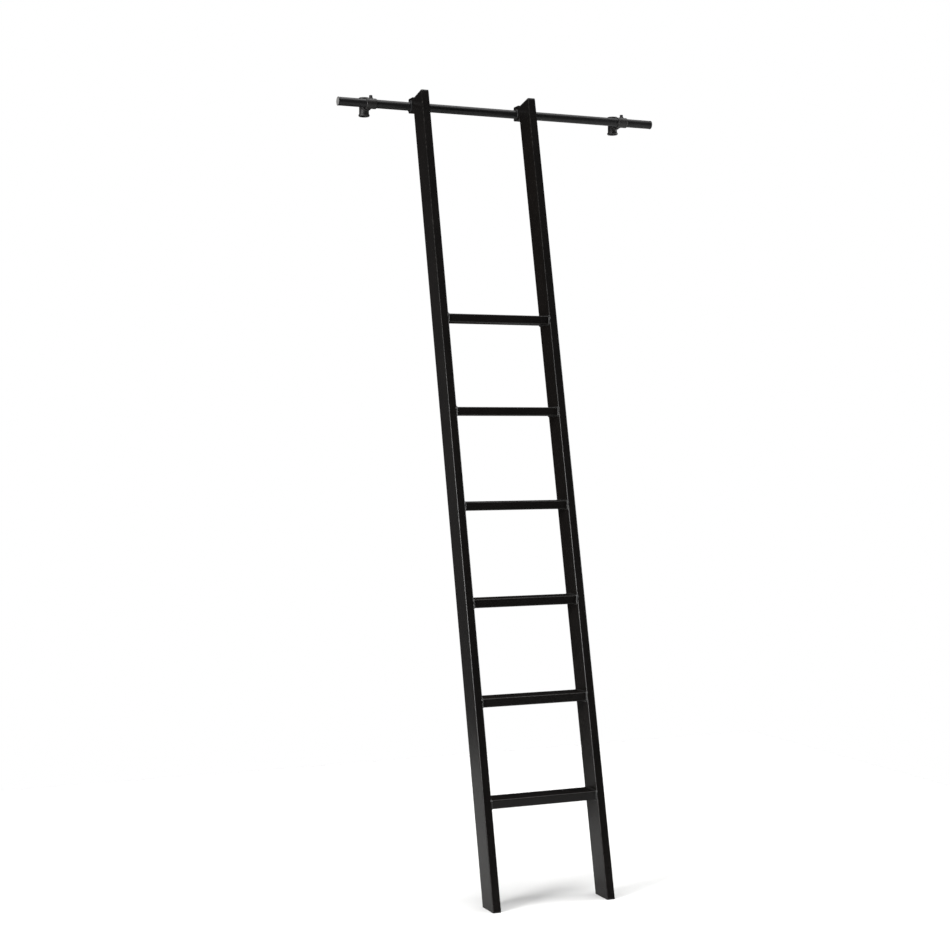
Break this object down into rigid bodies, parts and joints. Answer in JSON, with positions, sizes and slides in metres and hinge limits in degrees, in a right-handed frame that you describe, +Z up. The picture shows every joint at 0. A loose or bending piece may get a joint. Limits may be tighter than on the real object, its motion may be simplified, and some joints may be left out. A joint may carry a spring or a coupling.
{
  "type": "library ladder",
  "caption": "Leaning steel library ladder with level treads that hangs by welded eyes from a round rail and glides along it; the rail has post brackets.",
  "frame": {"origin": "on the floor, midway between the front of the feet and the back of the post tees, and under the middle of the rail", "axes": "+Z up, +X along the rail to the right as seen from the front, +Y from the front of the ladder towards the posts"},
  "size_m": [1.027, 0.6584, 2.2751],
  "materials": {
    "ladder_steel": "satin black powder coat",
    "weld_steel": "satin black over a rippled bead",
    "rail_steel": "satin black, smoother than the ladder",
    "fitting_steel": "black, slightly rough cast",
    "screw_steel": "black oxide",
    "bright_steel": "satin",
    "nylon": "smooth",
    "cap_plastic": "fine grain",
    "foot_rubber": "matt"
  },
  "bodies": {
    "rail": {"rail_tube": "rail_steel", "left_rail_end_cap": "bright_steel", "right_rail_end_cap": "bright_steel", "left_rail_sleeve": "fitting_steel", "right_rail_sleeve": "fitting_steel", "left_pipe_nipple": "rail_steel", "right_pipe_nipple": "rail_steel", "left_post_tee": "fitting_steel", "right_post_tee": "fitting_steel", "rail_set_screws": "screw_steel", "post_set_screws": "screw_steel"},
    "glide_bushes": {"left_glide_bush": "nylon", "right_glide_bush": "nylon"},
    "ladder": {"left_stile": "ladder_steel", "right_stile": "ladder_steel", "left_top_cap": "cap_plastic", "right_top_cap": "cap_plastic", "left_foot_pad": "foot_rubber", "right_foot_pad": "foot_rubber", "left_rail_eye": "ladder_steel", "right_rail_eye": "ladder_steel", "tread_1": "ladder_steel", "tread_2": "ladder_steel", "tread_3": "ladder_steel", "tread_4": "ladder_steel", "tread_5": "ladder_steel", "tread_6": "ladder_steel", "tread_welds": "weld_steel", "eye_welds": "weld_steel"}
  },
  "joints": [
    {"name": "ladder_glide", "type": "slide", "parent": "rail", "child": "glide_bushes", "axis": [1, 0, 0], "range_m": [-0.103, 0.313]},
    {"name": "ladder_lift", "type": "hinge", "parent": "glide_bushes", "child": "ladder", "pos_m": [-0.105, 0.25273, 2.24], "axis": [-1, 0, 0], "range_deg": [0, 35]}
  ]
}
